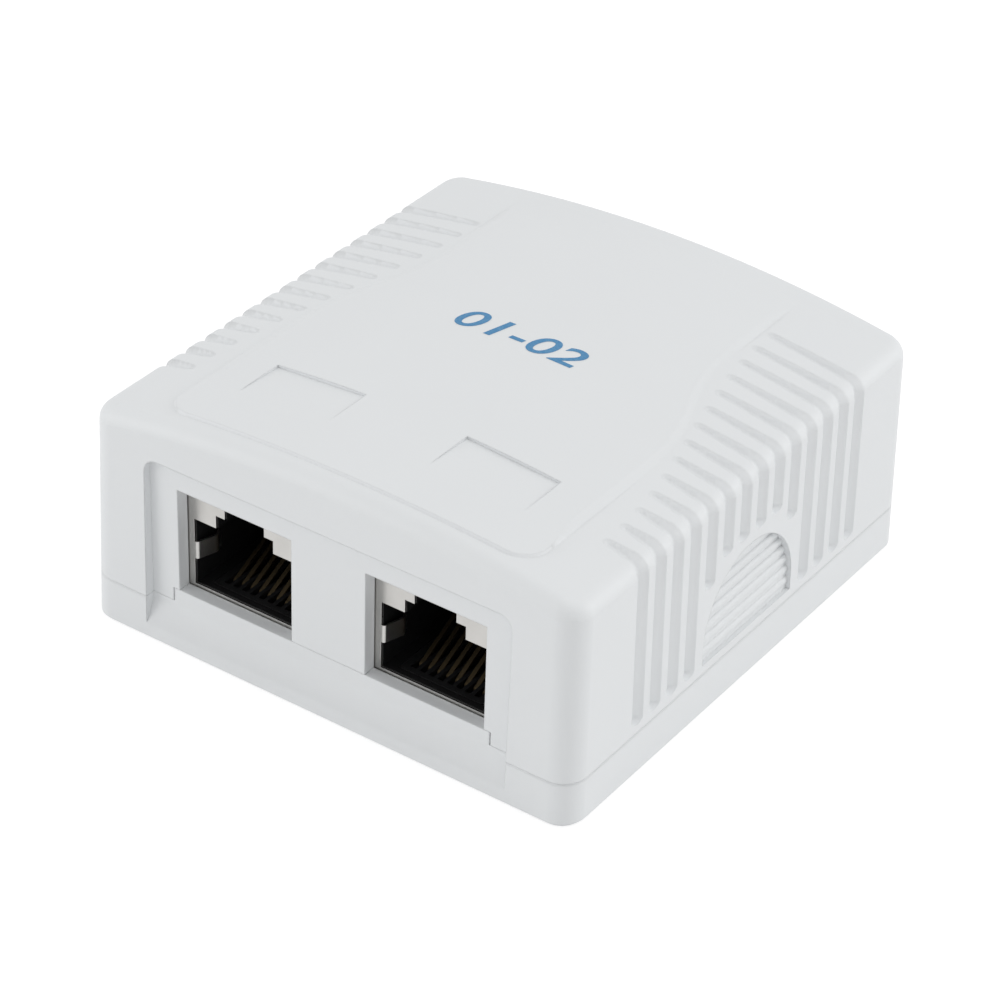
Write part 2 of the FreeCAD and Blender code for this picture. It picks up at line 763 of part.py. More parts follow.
def jack_shield():
    s = shield_sheet
    half = jack_width / 2
    y0, y1 = front + jack_face, front + jack_face + jack_depth
    outer = box(jack_x - half, jack_x + half, y0, y1, board_top, jack_top)
    uprights = [edge for edge in outer.Edges if edge.BoundBox.ZLength > jack_height / 2]
    outer = outer.makeFillet(shield_corner, uprights)
    inner = box(jack_x - half + s, jack_x + half - s, y0 + s, y1 - s, board_top - over, jack_top - s)
    shell = outer.cut(inner)
    port = port_profile(shield_reveal, shield_reveal, jack_face - over, jack_face + over)
    foot = box(jack_x - half + foot_margin, jack_x + half - foot_margin, y1 - over, y1 + over,
               board_top - over, board_top + foot_height)
    shell = shell.cut([port, foot])
    fingers = [spring_finger()]
    turned = mirrored(fingers[0])
    fingers.append(moved(turned, x=2 * jack_x))
    y = front + jack_face + leg_depth
    legs = []
    for side in (-1, 1):
        x = jack_x + side * (half - s / 2)
        legs.append(box(x - s / 2, x + s / 2, y - leg_width / 2, y + leg_width / 2, pin_end,
                        board_top + over))
    return shell.fuse(fingers + legs).removeSplitter()


def contact_carrier():
    """The insert that closes the jack's rear and holds the contacts in its slotted tongue."""
    y1 = front + jack_face + jack_depth - shield_sheet
    half = carrier_half - carrier_fit
    wall = box(jack_x - half, jack_x + half, y1 - carrier_wall, y1, board_top, carrier_top - carrier_fit)
    half = tongue_half - carrier_fit
    tongue = box(jack_x - half, jack_x + half, front + jack_face + channel_start + carrier_fit,
                 y1 - carrier_wall / 2, tongue_bottom, port_bottom)
    slots = []
    for i in range(contact_count):
        x = contact_x(i)
        z0 = contact_z - contact_sheet / 2
        end = front + pin_depth(i) + slot_width / 2
        slots.append(box(x - slot_width / 2, x + slot_width / 2, front + jack_face + slot_start, end,
                         z0, port_bottom + over))
        slots.append(box(x - slot_width / 2, x + slot_width / 2, end - slot_width - contact_bends[0],
                         end, board_top - over, z0 + over))
    return wall.fuse(tongue).cut(slots).removeSplitter()


def jack_contact(index):
    """One spring wire: board pin, run under the port, bend at the front, tip up into the port."""
    x = contact_x(index)
    y = front + pin_depth(index)
    face_y = front + jack_face
    points = [Vector(x, y, pin_end), Vector(x, y, contact_z), Vector(x, face_y + contact_turn, contact_z),
              Vector(x, face_y + contact_tip_depth, contact_tip_z)]
    return swept_strip(points, contact_bends, contact_sheet, contact_width, Vector(1, 0, 0))


def terminal_block():
    """Two rows of towers with a wire slot, a flared mouth and a blade pocket at each place."""
    half_length = contact_count // 2 * block_pitch / 2 + block_end
    y0, y1 = front + block_depth - half_length, front + block_depth + half_length
    rows = [box(block_x + side * row_offset - row_half, block_x + side * row_offset + row_half,
                y0, y1, board_top, block_top) for side in (-1, 1)]
    web = box(block_x - row_offset, block_x + row_offset, y0 + block_end, y1 - block_end,
              board_top, web_top)
    body = web.fuse(rows)
    tools = []
    for x, y in blade_places():
        x0, x1 = x - row_half - blade_fit, x + row_half + blade_fit
        h, m = wire_slot / 2, lead_in / 2
        mouth_z = block_top - (m - h)
        half = [(h, wire_slot_bottom), (h, mouth_z), (m, block_top), (m, block_top + over)]
        outline = [(y + v, z) for v, z in half] + [(y - v, z) for v, z in reversed(half)]
        tools.append(polygon([Vector(x0, v, z) for v, z in outline]).extrude(Vector(x1 - x0, 0, 0)))
        a, b = blade_sheet / 2 + blade_fit, blade_width / 2 + blade_fit
        tools.append(box(x - a, x + a, y - b, y + b, blade_bottom - blade_fit, blade_top + blade_fit))
        p = blade_pin / 2 + blade_fit
        tools.append(box(x - a, x + a, y - p, y + p, board_top - over, blade_bottom))
    return body.cut(tools).removeSplitter()


def terminal_blade(place):
    """Forked blade that cuts into the wire, with a pin through the board."""
    x, y = place
    b, s, m, p = blade_width / 2, blade_slit / 2, blade_mouth / 2, blade_pin / 2
    slit_z = blade_top - blade_slit_depth
    half = [(p, pin_end), (p, blade_bottom), (b, blade_bottom), (b, blade_top), (m, blade_top),
            (s, blade_top - (m - s)), (s, slit_z)]
    outline = [(y + v, z) for v, z in half] + [(y - v, z) for v, z in reversed(half)]
    x0 = x - blade_sheet / 2
    return polygon([Vector(x0, v, z) for v, z in outline]).extrude(Vector(blade_sheet, 0, 0))


def ground_strip():
    """Folded strip: an upright bar against both jack shields and a tail to the cable saddle."""
    y0 = front + jack_face + jack_depth
    z0 = board_top
    bar = box(-strip_bar_half, strip_bar_half, y0, y0 + strip_sheet, z0, z0 + strip_upright)
    tail = box(-strip_half, strip_half, y0, front + saddle_rear, z0, z0 + strip_sheet)
    return bar.fuse(tail).removeSplitter()


def cable_clamp():
    """Bowed saddle that holds the cables down on the tail of the ground strip."""
    z = board_top + clamp_sheet / 2
    top = z + clamp_bow_height
    y = front + (saddle_front + saddle_rear) / 2
    width = saddle_length - 2 * clamp_margin
    ear = clamp_screw_x + clamp_boss_radius
    points = [Vector(-ear, y, z), Vector(-clamp_bow_half, y, z), Vector(-clamp_bow_half, y, top),
              Vector(clamp_bow_half, y, top), Vector(clamp_bow_half, y, z), Vector(ear, y, z)]
    rounds = (clamp_foot_round, clamp_bow_round, clamp_bow_round, clamp_foot_round)
    bow = swept_strip(points, rounds, clamp_sheet, width, Vector(0, 1, 0))
    holes = [rod(screw_radius + clamp_hole_fit, side * clamp_screw_x, y, board_top - over,
                 clamp_sheet + 2 * over) for side in (-1, 1)]
    return bow.cut(holes)


def clamp_screws():
    y = front + (saddle_front + saddle_rear) / 2
    return Part.makeCompound([screw(side * clamp_screw_x, y, board_top + clamp_sheet) for side in (-1, 1)])


def both_hands(name, shape):
    """The right-hand piece and its mirror image on the left-hand port."""
    return {"left_" + name: mirrored(shape), "right_" + name: shape}


def all_parts():
    parts = {"base_plate": base_plate(), "cover": cover(), "circuit_board": circuit_board(),
             "board_screws": board_screws(), "ground_strip": ground_strip(),
             "cable_clamp": cable_clamp(), "clamp_screws": clamp_screws()}
    parts.update(both_hands("jack_housing", jack_housing()))
    parts.update(both_hands("jack_shield", jack_shield()))
    parts.update(both_hands("contact_carrier", contact_carrier()))
    parts.update(both_hands("terminal_block", terminal_block()))
    places = blade_places()
    for i in range(contact_count):
        parts.update(both_hands("contact_%d" % (i + 1), jack_contact(i)))
        parts.update(both_hands("blade_%d" % (i + 1), terminal_blade(places[i])))
    return parts


os.makedirs("parts", exist_ok=True)
for node, shape in all_parts().items():
    shape.exportStep("parts/" + node + ".step")
    print(node, "solids", len(shape.Solids), "valid", shape.isValid(), "volume", round(shape.Volume, 2))
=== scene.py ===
import math

import bmesh
import bpy
import numpy as np
from mathutils import Matrix, Vector


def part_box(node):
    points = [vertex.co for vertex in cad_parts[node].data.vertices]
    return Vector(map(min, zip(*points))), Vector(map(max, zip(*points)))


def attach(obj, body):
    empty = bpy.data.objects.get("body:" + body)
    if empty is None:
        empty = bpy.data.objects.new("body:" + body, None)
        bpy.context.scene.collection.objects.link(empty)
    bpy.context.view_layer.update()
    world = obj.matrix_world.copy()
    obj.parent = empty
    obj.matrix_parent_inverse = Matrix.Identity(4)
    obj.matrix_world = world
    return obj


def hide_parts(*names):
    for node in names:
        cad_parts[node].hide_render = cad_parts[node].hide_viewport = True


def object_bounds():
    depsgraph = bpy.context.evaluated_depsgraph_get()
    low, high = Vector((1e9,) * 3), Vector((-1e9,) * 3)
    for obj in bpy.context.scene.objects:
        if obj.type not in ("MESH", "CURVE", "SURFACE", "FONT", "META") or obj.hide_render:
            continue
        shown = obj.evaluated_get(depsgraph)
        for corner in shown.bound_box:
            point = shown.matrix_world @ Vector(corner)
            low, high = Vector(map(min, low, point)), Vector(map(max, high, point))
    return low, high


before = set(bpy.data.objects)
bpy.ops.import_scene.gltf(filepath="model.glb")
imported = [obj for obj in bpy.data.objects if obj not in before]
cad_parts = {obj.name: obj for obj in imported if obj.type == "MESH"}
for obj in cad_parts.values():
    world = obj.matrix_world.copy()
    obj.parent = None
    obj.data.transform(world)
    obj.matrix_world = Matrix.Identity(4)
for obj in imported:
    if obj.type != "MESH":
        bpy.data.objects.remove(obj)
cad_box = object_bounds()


# ---- Cover -------------------------------------------------------------------------------
# One injection moulding in white ABS with a fine spark-eroded texture: drafted walls, a
# crowned roof with a raised panel, eased grooves and finger grips. It clips on the base.

MM = 0.001


class Wire:
    """A value in a material's node tree, so that shader maths reads as a sum."""

    def __init__(self, finish, socket):
        self.finish = finish
        self.socket = socket

    def join(self, operation, other):
        maths = self.finish.node("ShaderNodeMath", {"operation": operation}, {0: self, 1: other})
        return maths["Value"]

    def __add__(self, other):
        return self.join("ADD", other)

    def __mul__(self, other):
        return self.join("MULTIPLY", other)

    __radd__ = __add__
    __rmul__ = __mul__


class Finish:
    """A material whose nodes are added one by one; its shader is a Principled BSDF.

    Lengths are in millimetres: noise sizes, relief and the radius of rounded edges.
    """

    BEVEL_SAMPLES = 6

    def __init__(self, name, shade):
        self.material = bpy.data.materials.new(name)
        self.material.use_nodes = True
        self.tree = self.material.node_tree
        self.shader = self.tree.nodes["Principled BSDF"]
        for socket, value in shade.items():
            self.shader.inputs[socket].default_value = value

    def node(self, kind, settings=None, inputs=None):
        """Adds a node and returns its outputs by name."""
        node = self.tree.nodes.new(kind)
        for key, value in (settings or {}).items():
            if key == "stops":
                self.set_ramp(node.color_ramp, value)
            else:
                setattr(node, key, value)
        for key, value in (inputs or {}).items():
            self.feed(node.inputs[key], value)
        return {output.name: Wire(self, output) for output in node.outputs if output.enabled}

    def set_ramp(self, ramp, stops):
        for element, (place, grey) in zip(ramp.elements, stops):
            element.position = place
            element.color = (grey, grey, grey, 1)

    def feed(self, socket, value):
        if isinstance(value, Wire):
            self.tree.links.new(value.socket, socket)
        else:
            socket.default_value = value

    def point(self, scale=(1, 1, 1)):
        """Place on the piece in millimetres, stretched by a scale on each axis."""
        place = self.node("ShaderNodeTexCoord")["Object"]
        stretch = tuple(s / MM for s in scale)
        return self.node("ShaderNodeMapping", None, {"Vector": place, "Scale": stretch})["Vector"]

    def noise(self, place, size, detail=2.0, roughness=0.5):
        inputs = {"Vector": place, "Scale": 1 / size, "Detail": detail, "Roughness": roughness}
        return self.node("ShaderNodeTexNoise", None, inputs)["Fac"]

    def tint(self, mask, plain, other):
        """One colour where the mask is 0 and another where it is 1."""
        result = self.node("ShaderNodeMix", {"data_type": "RGBA"}, {"Factor": mask})["Result"]
        sockets = [s for s in result.socket.node.inputs if s.enabled and s.name in ("A", "B")]
        for socket, colour in zip(sockets, (plain, other)):
            self.feed(socket, (*colour, 1))
        return result

    def paint(self, colour, roughness):
        self.feed(self.shader.inputs["Base Color"], colour)
        self.feed(self.shader.inputs["Roughness"], roughness)

    def surface(self, height, relief, edge=0.0):
        """Feeds the normal: edges rounded by a radius, then a fine relief of that depth."""
        inputs = {"Height": height, "Distance": relief * MM}
        if edge:
            samples = {"samples": self.BEVEL_SAMPLES}
            inputs["Normal"] = self.node("ShaderNodeBevel", samples, {"Radius": edge * MM})["Normal"]
        self.feed(self.shader.inputs["Normal"], self.node("ShaderNodeBump", None, inputs)["Normal"])


def add_object(name, data):
    """Links a mesh, a text outline, a lamp or the camera to the scene."""
    obj = bpy.data.objects.new(name, data)
    bpy.context.scene.collection.objects.link(obj)
    return obj


WELD = 1e-6


def merged_copy(node, name):
    """A copy of a moulding to be finished, with its triangles joined into one skin."""
    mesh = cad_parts[node].data.copy()
    mesh.name = name
    joined = bmesh.new()
    joined.from_mesh(mesh)
    bmesh.ops.remove_doubles(joined, verts=joined.verts, dist=WELD)
    joined.to_mesh(mesh)
    joined.free()
    return add_object(name, mesh)


def read_rows(items, name, width, kind=float):
    """One value or vector of every vertex, corner or face, as rows."""
    values = np.zeros(len(items) * width, dtype=kind)
    items.foreach_get(name, values)
    return values.reshape(-1, width)


SHORTEST = 1e-12


def unit(vectors):
    """The same directions, each with a length of one."""
    return vectors / np.maximum(np.linalg.norm(vectors, axis=1, keepdims=True), SHORTEST)


def smooth_step(share):
    """Turns a straight run from 0 to 1 into one that starts and ends gently."""
    return share ** 2 * (3 - 2 * share)


CASE_HALF_X, CASE_HALF_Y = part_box("base_plate")[1].xy
CASE_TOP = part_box("cover")[1].z
DRAFT = math.radians(1.0)
CORNER_RADIUS = 2.6 * MM
TOP_ROUND = 1.9 * MM
ROOF_RADIUS = 141.0 * MM
PANEL_RADIUS = 150.0 * MM
PANEL_STEP = 0.2 * MM


def wall_field(points):
    """Distance outside the drafted walls and their round corners, and the walls' normal."""
    lean = points[:, 2] * math.tan(DRAFT)
    reach_x = np.abs(points[:, 0]) - (CASE_HALF_X - lean - CORNER_RADIUS)
    reach_y = np.abs(points[:, 1]) - (CASE_HALF_Y - lean - CORNER_RADIUS)
    outside = np.stack([np.maximum(reach_x, 0), np.maximum(reach_y, 0)], axis=1)
    inside = np.minimum(np.maximum(reach_x, reach_y), 0)
    flat = np.stack([reach_x >= reach_y, reach_y > reach_x], axis=1).astype(float)
    heading = unit(np.where(inside[:, None] < 0, flat, outside)) * np.sign(points[:, :2])
    rise = np.full((len(points), 1), math.sin(DRAFT))
    normal = np.concatenate([heading * math.cos(DRAFT), rise], axis=1)
    return np.linalg.norm(outside, axis=1) + inside - CORNER_RADIUS, normal


def arch_field(points, radius, top):
    """Distance above an arched roof, and the roof's normal."""
    spoke = np.stack([points[:, 0], np.zeros(len(points)), points[:, 2] - (top - radius)], axis=1)
    return np.linalg.norm(spoke, axis=1) - radius, unit(spoke)


def case_field(points, radius=ROOF_RADIUS, top=CASE_TOP - PANEL_STEP):
    """Distance outside the case, whose walls round over into its roof, and the form's normal."""
    wall, wall_normal = wall_field(points)
    roof, roof_normal = arch_field(points, radius, top)
    lap = (wall_normal * roof_normal).sum(axis=1)
    past_wall, past_roof = wall + TOP_ROUND, roof + TOP_ROUND
    share_wall = (past_wall - lap * past_roof) / (1 - lap ** 2)
    share_roof = (past_roof - lap * past_wall) / (1 - lap ** 2)
    spoke = share_wall[:, None] * wall_normal + share_roof[:, None] * roof_normal
    turning = (share_wall > 0) & (share_roof > 0)
    nearer = np.where((wall > roof)[:, None], wall_normal, roof_normal)
    turned = np.linalg.norm(spoke, axis=1) - TOP_ROUND
    distance = np.where(turning, turned, np.maximum(wall, roof))
    return distance, np.where(turning[:, None], unit(spoke), nearer)


def panel_field(points):
    """The same for the slightly higher form that the raised panel is cut from."""
    return case_field(points, PANEL_RADIUS, CASE_TOP)


SETTLE_ROUNDS = 3


def settle(points, depth, field):
    """Moves points along a form's normals until they lie at a depth below it."""
    for _ in range(SETTLE_ROUNDS):
        distance, form = field(points)
        points = points - form * (distance + depth)[:, None]
    return points


def cut_rows(piece, axis, places):
    """Cuts every face where it crosses planes square to an axis, so that it can bend there."""
    shape = bmesh.new()
    shape.from_mesh(piece.data)
    for place in places:
        centre, facing = Vector(), Vector()
        centre[axis] = place
        facing[axis] = 1
        everything = shape.verts[:] + shape.edges[:] + shape.faces[:]
        bmesh.ops.bisect_plane(shape, geom=everything, dist=WELD, plane_co=centre, plane_no=facing)
    shape.to_mesh(piece.data)
    shape.free()


# A point touches a form when it lies this near to it, and is clear of it when this far away.
TOUCH = 0.02 * MM
CLEAR = 0.06 * MM

# The panel's sides slope over this width between these two places along the case, and the
# slope starts and ends over a run. Outside the labels the skin near the rim comes along.
SLOPE_WIDTH = 0.9 * MM
SLOPE_SPREAD = 3 * SLOPE_WIDTH
SLOPE_FRONT = 6 * MM - CASE_HALF_Y
SLOPE_REAR = 25 * MM
SLOPE_RUN = 5 * MM
LABEL_EDGE = 16.1 * MM


def ease_panel_sides(piece):
    """Lays the raised panel's sides out as gentle slopes; its front edge stays a crisp step."""
    shape = bmesh.new()
    shape.from_mesh(piece.data)
    shape.verts.ensure_lookup_table()
    points = np.array([v.co for v in shape.verts])
    above_roof = case_field(points)[0]
    above_panel = panel_field(points)[0]
    on_panel = np.abs(above_panel) < TOUCH
    beside_labels = np.abs(points[:, 0]) > LABEL_EDGE
    top = beside_labels & on_panel & (above_roof > CLEAR)
    foot = beside_labels & (np.abs(above_roof) < TOUCH) & (above_panel < -CLEAR)
    edge = np.zeros(len(points), dtype=bool)
    for face in shape.faces:
        corners = [v.index for v in face.verts]
        if all(top[corners] | foot[corners]) and any(top[corners]) and any(foot[corners]):
            edge[corners] = True
    along = points[:, 1]
    started = np.clip((along - SLOPE_FRONT) / SLOPE_RUN, 0, 1)
    unfinished = np.clip((SLOPE_REAR - along) / SLOPE_RUN, 0, 1)
    fade = smooth_step(started * unfinished)
    for side in (-1, 1):
        across = points[:, 0] * side
        rim = top & edge & (across > 0)
        order = np.argsort(along[rim])
        inward = np.interp(along, along[rim][order], across[rim][order]) - across
        pull = np.clip(1 - inward / SLOPE_SPREAD, 0, 1) * SLOPE_WIDTH * fade
        slid = points.copy()
        slid[:, 0] -= side * pull
        slid = settle(slid, 0, panel_field)
        for index in np.flatnonzero((across > 0) & on_panel & (pull > 0)):
            shape.verts[index].co = slid[index]
    crossing = [e for e in shape.edges if all(edge[v.index] for v in e.verts)
                and top[e.verts[0].index] != top[e.verts[1].index]]
    bmesh.ops.subdivide_edges(shape, edges=crossing, cuts=1)
    shape.to_mesh(piece.data)
    shape.free()


PANEL_FADE = 9 * MM
PANEL_FADE_RUN = 6 * MM
LEAST_RISE = 0.002 * MM


def fade_panel_rear(piece):
    """Lets the raised panel sink into the roof before it reaches the rear edge."""
    points = read_rows(piece.data.vertices, "co", 3)
    height = case_field(points)[0]
    fade = np.clip((points[:, 1] - CASE_HALF_Y + PANEL_FADE) / PANEL_FADE_RUN, 0, 1)
    raised = (height > LEAST_RISE) & (height < 2 * PANEL_STEP) & (fade > 0)
    left = height * (1 - smooth_step(fade))
    points[raised] = settle(points[raised], -left[raised], case_field)
    piece.data.vertices.foreach_set("co", points.ravel())


# The grooves as they are cut in the solid. Those over a finger grip end higher up, and the
# inner ends on the roof lie farther in towards the rear.
GROOVE_COUNT = 14
GROOVE_PITCH = 2.86 * MM
GROOVE_HALF = 0.575 * MM
GROOVE_DEPTH = 0.5 * MM
GROOVE_LOW = 5.8 * MM
GROOVE_LOW_OVER_GRIP = (14.3 * MM, 16.4 * MM, 16.4 * MM)
GROOVE_FRONT_X = 23.0 * MM
GROOVE_REAR_X = 16.9 * MM

# The half widths of the eased mouth and bed, and the depth: at the inner end, at the roof's
# edge and on the wall.
MOUTH_HALF = (0.5 * MM, 0.74 * MM, 0.92 * MM)
BED_HALF = (0.2 * MM, 0.26 * MM, 0.34 * MM)
BED_DEPTH = (0.3 * MM, 0.5 * MM, 0.68 * MM)


def nearest_groove(points):
    """The middle, the lower end and the inner end of the groove nearest to each point."""
    last = GROOVE_COUNT - 1
    order = np.clip(np.round(points[:, 1] / GROOVE_PITCH + last / 2), 0, last)
    middle = (order - last / 2) * GROOVE_PITCH
    first_over_grip = GROOVE_COUNT // 2 - len(GROOVE_LOW_OVER_GRIP)
    over_grip = np.minimum(order, last - order).astype(int) - first_over_grip
    low_over_grip = np.array(GROOVE_LOW_OVER_GRIP)[np.maximum(over_grip, 0)]
    low = np.where(over_grip >= 0, low_over_grip, GROOVE_LOW)
    end = GROOVE_FRONT_X + (GROOVE_REAR_X - GROOVE_FRONT_X) * smooth_step(order / last)
    return middle, low, end


def gathered(values, limit, share):
    """Keeps only a share of how far values fall short of a limit."""
    return np.where(values < limit, limit - (limit - values) * share, values)


def ease_grooves(piece):
    """Opens each groove into a round channel that is wide on the wall and runs out on the roof."""
    points = read_rows(piece.data.vertices, "co", 3)
    distance = case_field(points)[0]
    middle, low, end = nearest_groove(points)
    across = np.abs(points[:, 0])
    offset = points[:, 1] - middle
    beside = np.abs(offset)
    height = points[:, 2]
    in_skin = np.abs(distance + GROOVE_DEPTH / 2) < GROOVE_DEPTH / 2 + 2 * TOUCH
    in_reach = (across > end - TOUCH) & (height > low - TOUCH) & (beside < GROOVE_PITCH / 2)
    moved = in_skin & in_reach

    roof_edge = CASE_HALF_X - CASE_TOP * math.tan(DRAFT) - TOP_ROUND
    over_roof = np.clip((across - end) / (roof_edge - end), 0, 1)
    run = over_roof + np.clip((across - roof_edge) / TOP_ROUND, 0, 1)
    mouth = np.interp(run, (0, 1, 2), MOUTH_HALF)
    bed = np.interp(run, (0, 1, 2), BED_HALF)
    sunk = np.clip(-distance / GROOVE_DEPTH, 0, 1)

    rib_share = (GROOVE_PITCH / 2 - mouth) / (GROOVE_PITCH / 2 - GROOVE_HALF)
    rib = mouth + (beside - GROOVE_HALF) * rib_share
    at_mouth = np.where(beside < GROOVE_HALF, beside * mouth / GROOVE_HALF, rib)
    at_bed = beside * bed / GROOVE_HALF
    share = 1 - sunk * (1 - bed / GROOVE_HALF)
    eased = points.copy()
    eased[:, 0] = np.sign(points[:, 0]) * gathered(across, end + GROOVE_HALF, share)
    eased[:, 1] = middle + np.sign(offset) * (at_mouth * (1 - sunk) + at_bed * sunk)
    eased[:, 2] = gathered(height, low + GROOVE_HALF, share)
    depth = sunk * np.interp(run, (0, 1, 2), BED_DEPTH)
    points[moved] = settle(eased[moved], depth[moved], case_field)
    piece.data.vertices.foreach_set("co", points.ravel())


# The arch of a finger grip: its radius, its lower edge and the height it springs from. Its
# floor keeps these shares of its depth, at the lower edge and from a rise above it.
GRIP_REACH = 7.75 * MM
GRIP_LOW = 5.87 * MM
GRIP_SPRING = 7.7 * MM
GRIP_RISE = GRIP_REACH / 1.6
GRIP_KEPT = (0.35, 0.65)
GRIP_DEEPEST = 1.32 * MM
GRIP_WALL = 2 * MM


def ease_grips(piece):
    """Lets the floor of each finger grip come up towards its lower edge."""
    points = read_rows(piece.data.vertices, "co", 3)
    distance, form = case_field(points)
    height = points[:, 2]
    from_middle = np.hypot(points[:, 1], np.maximum(height - GRIP_SPRING, 0))
    in_arch = (from_middle < GRIP_REACH) & (height > GRIP_LOW)
    in_floor = (distance < -TOUCH) & (distance > -GRIP_DEEPEST)
    moved = in_arch & in_floor & (np.abs(points[:, 0]) > CASE_HALF_X - GRIP_WALL)
    kept = np.interp(height, (GRIP_LOW, GRIP_LOW + GRIP_RISE), GRIP_KEPT)
    points[moved] -= (form * (distance * (1 - kept))[:, None])[moved]
    piece.data.vertices.foreach_set("co", points.ravel())


# A face belongs to a form when all its corners lie this near to it and it faces within this
# angle of it. A single corner that touches the form belongs to it within a wider angle.
NEAR_CASE = (case_field, 0.06 * MM, 25)
NEAR_PANEL = (panel_field, 0.04 * MM, 8)
CORNER_ANGLE = 48


def true_normals(piece, forms, soft_angle):
    """Shades the piece smooth, and gives what lies on a known form that form's own normal."""
    mesh = piece.data
    if "custom_normal" in mesh.attributes:
        mesh.attributes.remove(mesh.attributes["custom_normal"])
    mesh.shade_smooth()
    mesh.set_sharp_from_angle(angle=math.radians(soft_angle))
    normals = read_rows(mesh.corner_normals, "vector", 3)
    corners = read_rows(mesh.loops, "vertex_index", 1, int)[:, 0]
    points = read_rows(mesh.vertices, "co", 3)[corners]
    sizes = read_rows(mesh.polygons, "loop_total", 1, int)[:, 0]
    facing = np.repeat(read_rows(mesh.polygons, "normal", 3), sizes, axis=0)
    owners = np.repeat(np.arange(len(sizes)), sizes)
    for field, reach, angle in forms:
        distance, form = field(points)
        agreement = (facing * form).sum(axis=1)
        near = (np.abs(distance) < reach) & (agreement > math.cos(math.radians(angle)))
        whole = np.bincount(owners, weights=near) == sizes
        touching = np.abs(distance) < TOUCH
        touching &= agreement > math.cos(math.radians(CORNER_ANGLE))
        on_form = whole[owners] | touching
        normals[on_form] = form[on_form]
    mesh.normals_split_custom_set(normals.tolist())


# The spark-eroded texture is this fine, and larger specks vary its gloss.
GRAIN = 0.16
SPECK = 0.35


def case_white():
    """White ABS: a faint mottle in colour and gloss under a fine sparkled texture."""
    finish = Finish("case_white", {"IOR": 1.5})
    place = finish.point()
    cloud = finish.noise(place, 14.0, 3.0)
    speck = finish.noise(place, SPECK, 2.0, 0.6)
    grain = finish.noise(place, GRAIN, 2.0, 0.6)
    colour = finish.tint(cloud, plain=(0.765, 0.782, 0.794), other=(0.785, 0.802, 0.813))
    finish.paint(colour, 0.40 + 0.16 * speck)
    finish.surface(grain, relief=0.006, edge=0.22)
    return finish.material


# Rows of cuts, in millimetres: across the roof near the panel's two ends, and along it
# where the grooves run.
PANEL_END_ROWS = (*range(-23, -17), *range(20, 28))
GROOVE_ROWS = np.arange(17.4, 25.2, 0.6)
COVER_SOFT_ANGLE = 48

WHITE = case_white()
cover = merged_copy("cover", "cover_moulding")
cut_rows(cover, 1, [y * MM for y in PANEL_END_ROWS])
ease_panel_sides(cover)
fade_panel_rear(cover)
cut_rows(cover, 0, [side * x * MM for side in (-1, 1) for x in GROOVE_ROWS])
ease_grooves(cover)
ease_grips(cover)
true_normals(cover, [NEAR_CASE, NEAR_PANEL], COVER_SOFT_ANGLE)
cover.data.materials.clear()
cover.data.materials.append(WHITE)
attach(cover, "cover")
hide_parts("cover")


# ---- Base --------------------------------------------------------------------------------
# The tray under the cover, moulded in the same white ABS. Its front strip and the foot of
# the recess show below the joint; posts, rims, clip tongues and wall slots are inside.

BASE_SOFT_ANGLE = 28

base = merged_copy("base_plate", "base_moulding")
true_normals(base, [NEAR_CASE], BASE_SOFT_ANGLE)
base.data.materials.clear()
base.data.materials.append(WHITE)
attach(base, "base")
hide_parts("base_plate")


# ---- Printed mark ------------------------------------------------------------------------
# The numbers of the two ports, pad-printed in blue ink on the middle of the raised panel.
# The ink is a film a few hundredths of a millimetre thick that follows the panel's crown.

MARK_WORDS = "01-02"
MARK_WIDTH = 14.0 * MM
MARK_HEIGHT = 3.3 * MM
MARK_PLACE = Vector((-0.2 * MM, 1.95 * MM, 0))
MARK_WELD = 1e-5
INK_FILM = 0.02 * MM


def ink_blue():
    """Blue ink whose cover breaks up a little where the texture stands through it."""
    finish = Finish("ink_blue", {"IOR": 1.45})
    place = finish.point()
    wear = finish.node("ShaderNodeValToRGB", {"stops": [(0.42, 0.0), (0.72, 1.0)]},
                       {"Fac": finish.noise(place, 0.3, 3.0, 0.6)})["Color"]
    colour = finish.tint(wear, plain=(0.06, 0.235, 0.46), other=(0.12, 0.30, 0.50))
    finish.paint(colour, 0.38 + 0.2 * finish.noise(place, 0.5))
    finish.surface(finish.noise(place, GRAIN, 2.0, 0.6), relief=0.004)
    return finish.material


def outlined_words():
    """The slanted, slightly bold figures as a flat mesh."""
    words = bpy.data.curves.new("port_numbers_outline", "FONT")
    words.body = MARK_WORDS
    words.align_x = "CENTER"
    words.align_y = "CENTER"
    words.shear = 0.22
    words.offset = 0.012
    words.space_character = 1.05
    words.resolution_u = 6
    outline = add_object("port_numbers_outline", words)
    bpy.context.view_layer.update()
    evaluated = outline.evaluated_get(bpy.context.evaluated_depsgraph_get())
    mesh = bpy.data.meshes.new_from_object(evaluated)
    bpy.data.objects.remove(outline)
    return mesh


mark_mesh = outlined_words()
mark_shape = bmesh.new()
mark_shape.from_mesh(mark_mesh)
bmesh.ops.remove_doubles(mark_shape, verts=mark_shape.verts, dist=MARK_WELD)
xs = [v.co.x for v in mark_shape.verts]
ys = [v.co.y for v in mark_shape.verts]
middle = Vector(((min(xs) + max(xs)) / 2, (min(ys) + max(ys)) / 2, 0))
stretch = (MARK_WIDTH / (max(xs) - min(xs)), MARK_HEIGHT / (max(ys) - min(ys)), 1)
bmesh.ops.translate(mark_shape, verts=mark_shape.verts, vec=-middle)
bmesh.ops.scale(mark_shape, verts=mark_shape.verts, vec=stretch)
bmesh.ops.translate(mark_shape, verts=mark_shape.verts, vec=MARK_PLACE)
for vertex in mark_shape.verts:
    drop = PANEL_RADIUS - math.sqrt(PANEL_RADIUS ** 2 - vertex.co.x ** 2)
    vertex.co.z = CASE_TOP - drop + INK_FILM
for face in mark_shape.faces:
    if face.normal.z < 0:
        face.normal_flip()
    face.smooth = True
